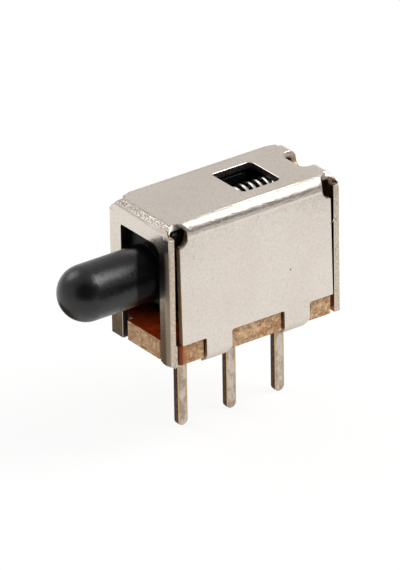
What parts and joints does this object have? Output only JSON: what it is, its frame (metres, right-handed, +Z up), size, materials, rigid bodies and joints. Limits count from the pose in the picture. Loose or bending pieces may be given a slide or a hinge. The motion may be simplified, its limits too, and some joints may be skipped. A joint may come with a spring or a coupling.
{
  "type": "pushbutton switch",
  "caption": "Miniature right-angle push-button switch: folded steel shell over a phenolic board, round-nosed sprung plunger, and in-line through-hole terminals.",
  "frame": {"origin": "the middle terminal's axis at the surface of the circuit board that the switch is soldered to", "axes": "+Z up from the circuit board, -Y the way the plunger points, +X across the switch"},
  "size_m": [0.0046, 0.0127, 0.0104],
  "materials": {
    "nickel_plate": "satin nickel plate",
    "phenolic": "punched phenolic paper laminate",
    "tinned_brass": "dull tin plate",
    "black_plastic": "satin moulded",
    "bronze": "bright strip",
    "spring_wire": "bright drawn wire"
  },
  "bodies": {
    "case": {"shell": "nickel_plate", "terminal_board": "phenolic", "front_terminal": "tinned_brass", "middle_terminal": "tinned_brass", "rear_terminal": "tinned_brass", "return_spring": "spring_wire"},
    "slider": {"plunger": "black_plastic", "contact_clip": "bronze"}
  },
  "joints": [
    {"name": "plunger_press", "type": "slide", "parent": "case", "child": "slider", "axis": [0, 1, 0], "range_m": [0, 0.0022], "stiffness_N_per_m": 250, "springref_m": -0.002, "deforming": ["return_spring"]}
  ]
}
